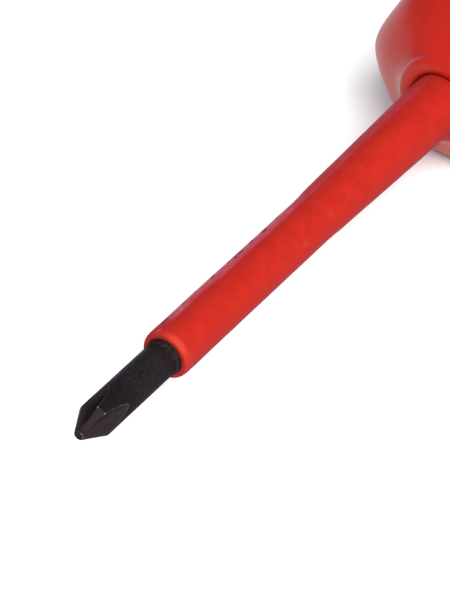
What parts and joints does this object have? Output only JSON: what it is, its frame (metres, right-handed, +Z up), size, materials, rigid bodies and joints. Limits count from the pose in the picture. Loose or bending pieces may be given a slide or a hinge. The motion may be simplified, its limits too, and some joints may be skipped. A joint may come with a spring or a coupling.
{
  "type": "insulated screwdriver",
  "caption": "Insulated cross-tip screwdriver: slim dark steel blade in a moulded red sleeve, with a lobed multi-component handle, soft pads and a hanging hole.",
  "frame": {"origin": "centre of the flat at the end of the tip", "axes": "+X along the tool's axis from the tip to the handle's end; +Z up as the tool lies on a flat of its handle; +Y completes a right-handed frame"},
  "size_m": [0.184, 0.029, 0.027],
  "materials": {
    "dark_steel": "black oxide, worn bright at the tip's edges",
    "seal_compound": "rough, dusty black compound",
    "sleeve_red": "satin moulded plastic",
    "core_grey": "plain moulding, hidden",
    "shell_red": "satin moulded plastic",
    "grip_black": "matt, fine textured soft plastic",
    "cap_black": "fine spark-eroded texture",
    "disc_yellow": "smooth"
  },
  "bodies": {
    "root": {"blade": "dark_steel", "mouth_seal": "seal_compound", "blade_sleeve": "sleeve_red", "handle_core": "core_grey", "handle_shell": "shell_red", "finger_grip": "grip_black", "palm_pad_1": "grip_black", "palm_pad_2": "grip_black", "palm_pad_3": "grip_black", "palm_pad_4": "grip_black", "palm_pad_5": "grip_black", "palm_pad_6": "grip_black", "end_cap": "cap_black", "size_disc": "disc_yellow"}
  },
  "joints": []
}
